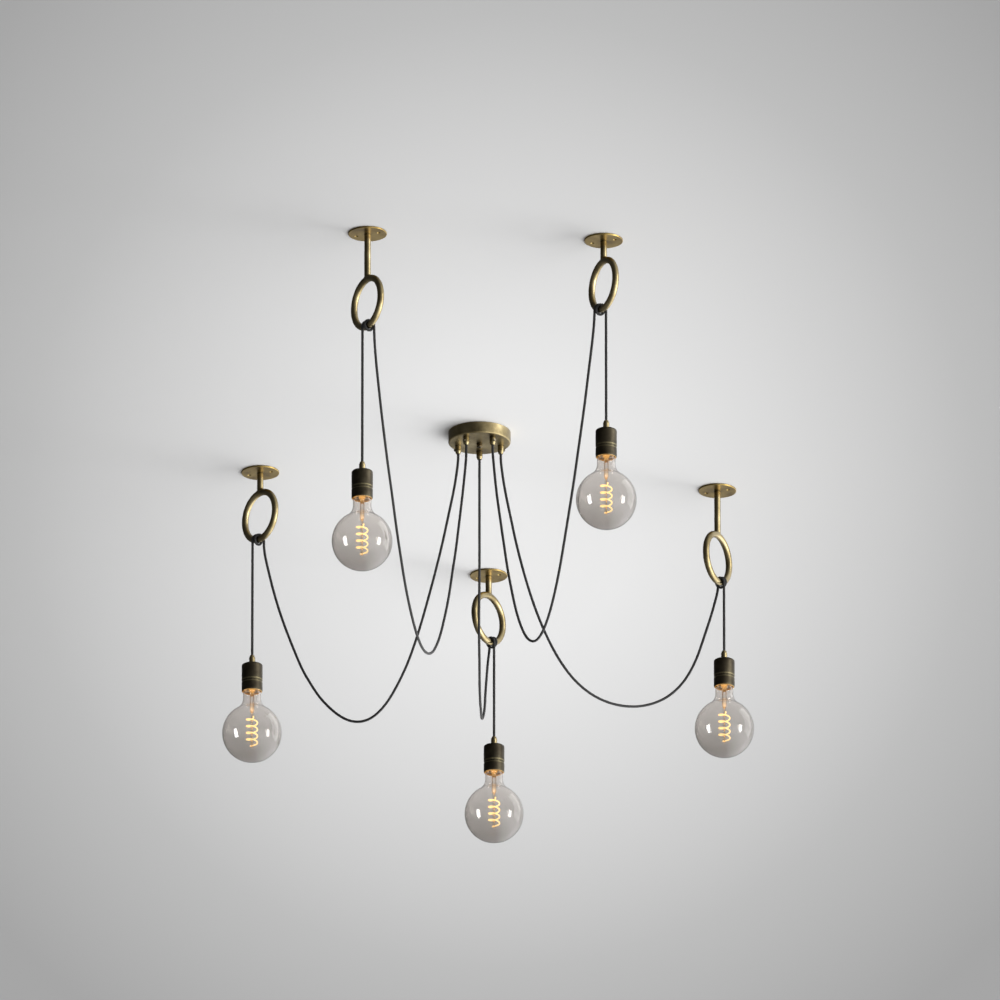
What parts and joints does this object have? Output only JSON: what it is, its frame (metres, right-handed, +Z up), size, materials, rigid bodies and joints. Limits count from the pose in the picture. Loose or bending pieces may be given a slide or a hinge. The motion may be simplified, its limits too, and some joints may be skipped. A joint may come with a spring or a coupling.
{
  "type": "spider chandelier",
  "caption": "Swag chandelier: cords hang from a round ceiling canopy over brass ring hooks to bronze lampholders with smoky globe bulbs.",
  "frame": {"origin": "centre of the canopy on the ceiling, between its two ceiling screws", "axes": "+Z up into the ceiling, +X to the viewer's right, +Y away from the viewer"},
  "size_m": [1.1182, 2.1087, 0.7434],
  "materials": {
    "aged_brass": "aged satin",
    "zinc_steel": "zinc plated",
    "screw_steel": "satin",
    "white_plastic": "matte",
    "tail_rubber": "matte",
    "braided_cord": "braided",
    "dark_bronze": "satin",
    "porcelain": "glazed",
    "bulb_metal": "bright",
    "smoke_glass": "smoked",
    "filament": "glowing"
  },
  "bodies": {
    "canopy": {"canopy_cover": "aged_brass", "ceiling_bracket": "zinc_steel", "centre_stud": "zinc_steel", "cap_nut": "aged_brass", "cord_grips": "aged_brass", "grip_fasteners": "screw_steel", "terminal_block": "white_plastic", "lead_wires": "tail_rubber", "hook_plates": "aged_brass", "hook_eyes": "aged_brass", "swag_cord_1": "braided_cord", "swag_cord_2": "braided_cord", "swag_cord_3": "braided_cord", "swag_cord_4": "braided_cord", "swag_cord_5": "braided_cord"},
    "drop_1": {"drop_cord_1": "braided_cord"},
    "holder_1": {"holder_grip_1": "aged_brass", "holder_cap_1": "dark_bronze", "holder_skirt_1": "dark_bronze", "holder_insert_1": "porcelain"},
    "contact_1": {"bulb_contact_1": "bulb_metal"},
    "bulb_1": {"bulb_glass_1": "smoke_glass", "bulb_cap_1": "bulb_metal", "bulb_filament_1": "filament"},
    "drop_2": {"drop_cord_2": "braided_cord"},
    "holder_2": {"holder_grip_2": "aged_brass", "holder_cap_2": "dark_bronze", "holder_skirt_2": "dark_bronze", "holder_insert_2": "porcelain"},
    "contact_2": {"bulb_contact_2": "bulb_metal"},
    "bulb_2": {"bulb_glass_2": "smoke_glass", "bulb_cap_2": "bulb_metal", "bulb_filament_2": "filament"},
    "drop_3": {"drop_cord_3": "braided_cord"},
    "holder_3": {"holder_grip_3": "aged_brass", "holder_cap_3": "dark_bronze", "holder_skirt_3": "dark_bronze", "holder_insert_3": "porcelain"},
    "contact_3": {"bulb_contact_3": "bulb_metal"},
    "bulb_3": {"bulb_glass_3": "smoke_glass", "bulb_cap_3": "bulb_metal", "bulb_filament_3": "filament"},
    "drop_4": {"drop_cord_4": "braided_cord"},
    "holder_4": {"holder_grip_4": "aged_brass", "holder_cap_4": "dark_bronze", "holder_skirt_4": "dark_bronze", "holder_insert_4": "porcelain"},
    "contact_4": {"bulb_contact_4": "bulb_metal"},
    "bulb_4": {"bulb_glass_4": "smoke_glass", "bulb_cap_4": "bulb_metal", "bulb_filament_4": "filament"},
    "drop_5": {"drop_cord_5": "braided_cord"},
    "holder_5": {"holder_grip_5": "aged_brass", "holder_cap_5": "dark_bronze", "holder_skirt_5": "dark_bronze", "holder_insert_5": "porcelain"},
    "contact_5": {"bulb_contact_5": "bulb_metal"},
    "bulb_5": {"bulb_glass_5": "smoke_glass", "bulb_cap_5": "bulb_metal", "bulb_filament_5": "filament"}
  },
  "joints": [
    {"name": "swing_1", "type": "hinge", "parent": "canopy", "child": "drop_1", "pos_m": [-0.24014, -1.14512, -0.20937], "axis": [0.1678, 0.9858, 0], "range_deg": [-20, 20]},
    {"name": "tilt_1", "type": "hinge", "parent": "drop_1", "child": "holder_1", "pos_m": [-0.24014, -1.14512, -0.507], "axis": [-0.9858, 0.1678, 0], "range_deg": [-20, 20]},
    {"name": "thread_1", "type": "slide", "parent": "holder_1", "child": "contact_1", "axis": [0, 0, -1], "range_m": [0, 0.01824]},
    {"name": "unscrew_1", "type": "hinge", "parent": "contact_1", "child": "bulb_1", "pos_m": [-0.24014, -1.14512, -0.527], "axis": [0, 0, -1], "range_deg": [0, 1800]},
    {"name": "swing_2", "type": "hinge", "parent": "canopy", "child": "drop_2", "pos_m": [0.26177, -1.09015, -0.15364], "axis": [-0.1962, 0.9806, 0], "range_deg": [-20, 20]},
    {"name": "tilt_2", "type": "hinge", "parent": "drop_2", "child": "holder_2", "pos_m": [0.26177, -1.09015, -0.395], "axis": [-0.9806, -0.1962, 0], "range_deg": [-20, 20]},
    {"name": "thread_2", "type": "slide", "parent": "holder_2", "child": "contact_2", "axis": [0, 0, -1], "range_m": [0, 0.01824]},
    {"name": "unscrew_2", "type": "hinge", "parent": "contact_2", "child": "bulb_2", "pos_m": [0.26177, -1.09015, -0.415], "axis": [0, 0, -1], "range_deg": [0, 1800]},
    {"name": "swing_3", "type": "hinge", "parent": "canopy", "child": "drop_3", "pos_m": [-0.47787, 0.23367, -0.15288], "axis": [0.8792, -0.4765, 0], "range_deg": [-20, 20]},
    {"name": "tilt_3", "type": "hinge", "parent": "drop_3", "child": "holder_3", "pos_m": [-0.47787, 0.23367, -0.412], "axis": [0.4765, 0.8792, 0], "range_deg": [-20, 20]},
    {"name": "thread_3", "type": "slide", "parent": "holder_3", "child": "contact_3", "axis": [0, 0, -1], "range_m": [0, 0.01824]},
    {"name": "unscrew_3", "type": "hinge", "parent": "contact_3", "child": "bulb_3", "pos_m": [-0.47787, 0.23367, -0.432], "axis": [0, 0, -1], "range_deg": [0, 1800]},
    {"name": "swing_4", "type": "hinge", "parent": "canopy", "child": "drop_4", "pos_m": [0.51533, 0.33923, -0.20864], "axis": [-0.7988, -0.6016, 0], "range_deg": [-20, 20]},
    {"name": "tilt_4", "type": "hinge", "parent": "drop_4", "child": "holder_4", "pos_m": [0.51533, 0.33923, -0.362], "axis": [0.6016, -0.7988, 0], "range_deg": [-20, 20]},
    {"name": "thread_4", "type": "slide", "parent": "holder_4", "child": "contact_4", "axis": [0, 0, -1], "range_m": [0, 0.01824]},
    {"name": "unscrew_4", "type": "hinge", "parent": "contact_4", "child": "bulb_4", "pos_m": [0.51533, 0.33923, -0.382], "axis": [0, 0, -1], "range_deg": [0, 1800]},
    {"name": "swing_5", "type": "hinge", "parent": "canopy", "child": "drop_5", "pos_m": [0.03054, 0.83861, -0.15415], "axis": [0.9997, -0.0257, 0], "range_deg": [-20, 20]},
    {"name": "tilt_5", "type": "hinge", "parent": "drop_5", "child": "holder_5", "pos_m": [0.03054, 0.83861, -0.368], "axis": [0.0257, 0.9997, 0], "range_deg": [-20, 20]},
    {"name": "thread_5", "type": "slide", "parent": "holder_5", "child": "contact_5", "axis": [0, 0, -1], "range_m": [0, 0.01824]},
    {"name": "unscrew_5", "type": "hinge", "parent": "contact_5", "child": "bulb_5", "pos_m": [0.03054, 0.83861, -0.388], "axis": [0, 0, -1], "range_deg": [0, 1800]}
  ],
  "couplings": [
    {"joint": "thread_1", "follows": "unscrew_1", "m_per_rad": 0.00057757},
    {"joint": "thread_2", "follows": "unscrew_2", "m_per_rad": 0.00057757},
    {"joint": "thread_3", "follows": "unscrew_3", "m_per_rad": 0.00057757},
    {"joint": "thread_4", "follows": "unscrew_4", "m_per_rad": 0.00057757},
    {"joint": "thread_5", "follows": "unscrew_5", "m_per_rad": 0.00057757}
  ]
}
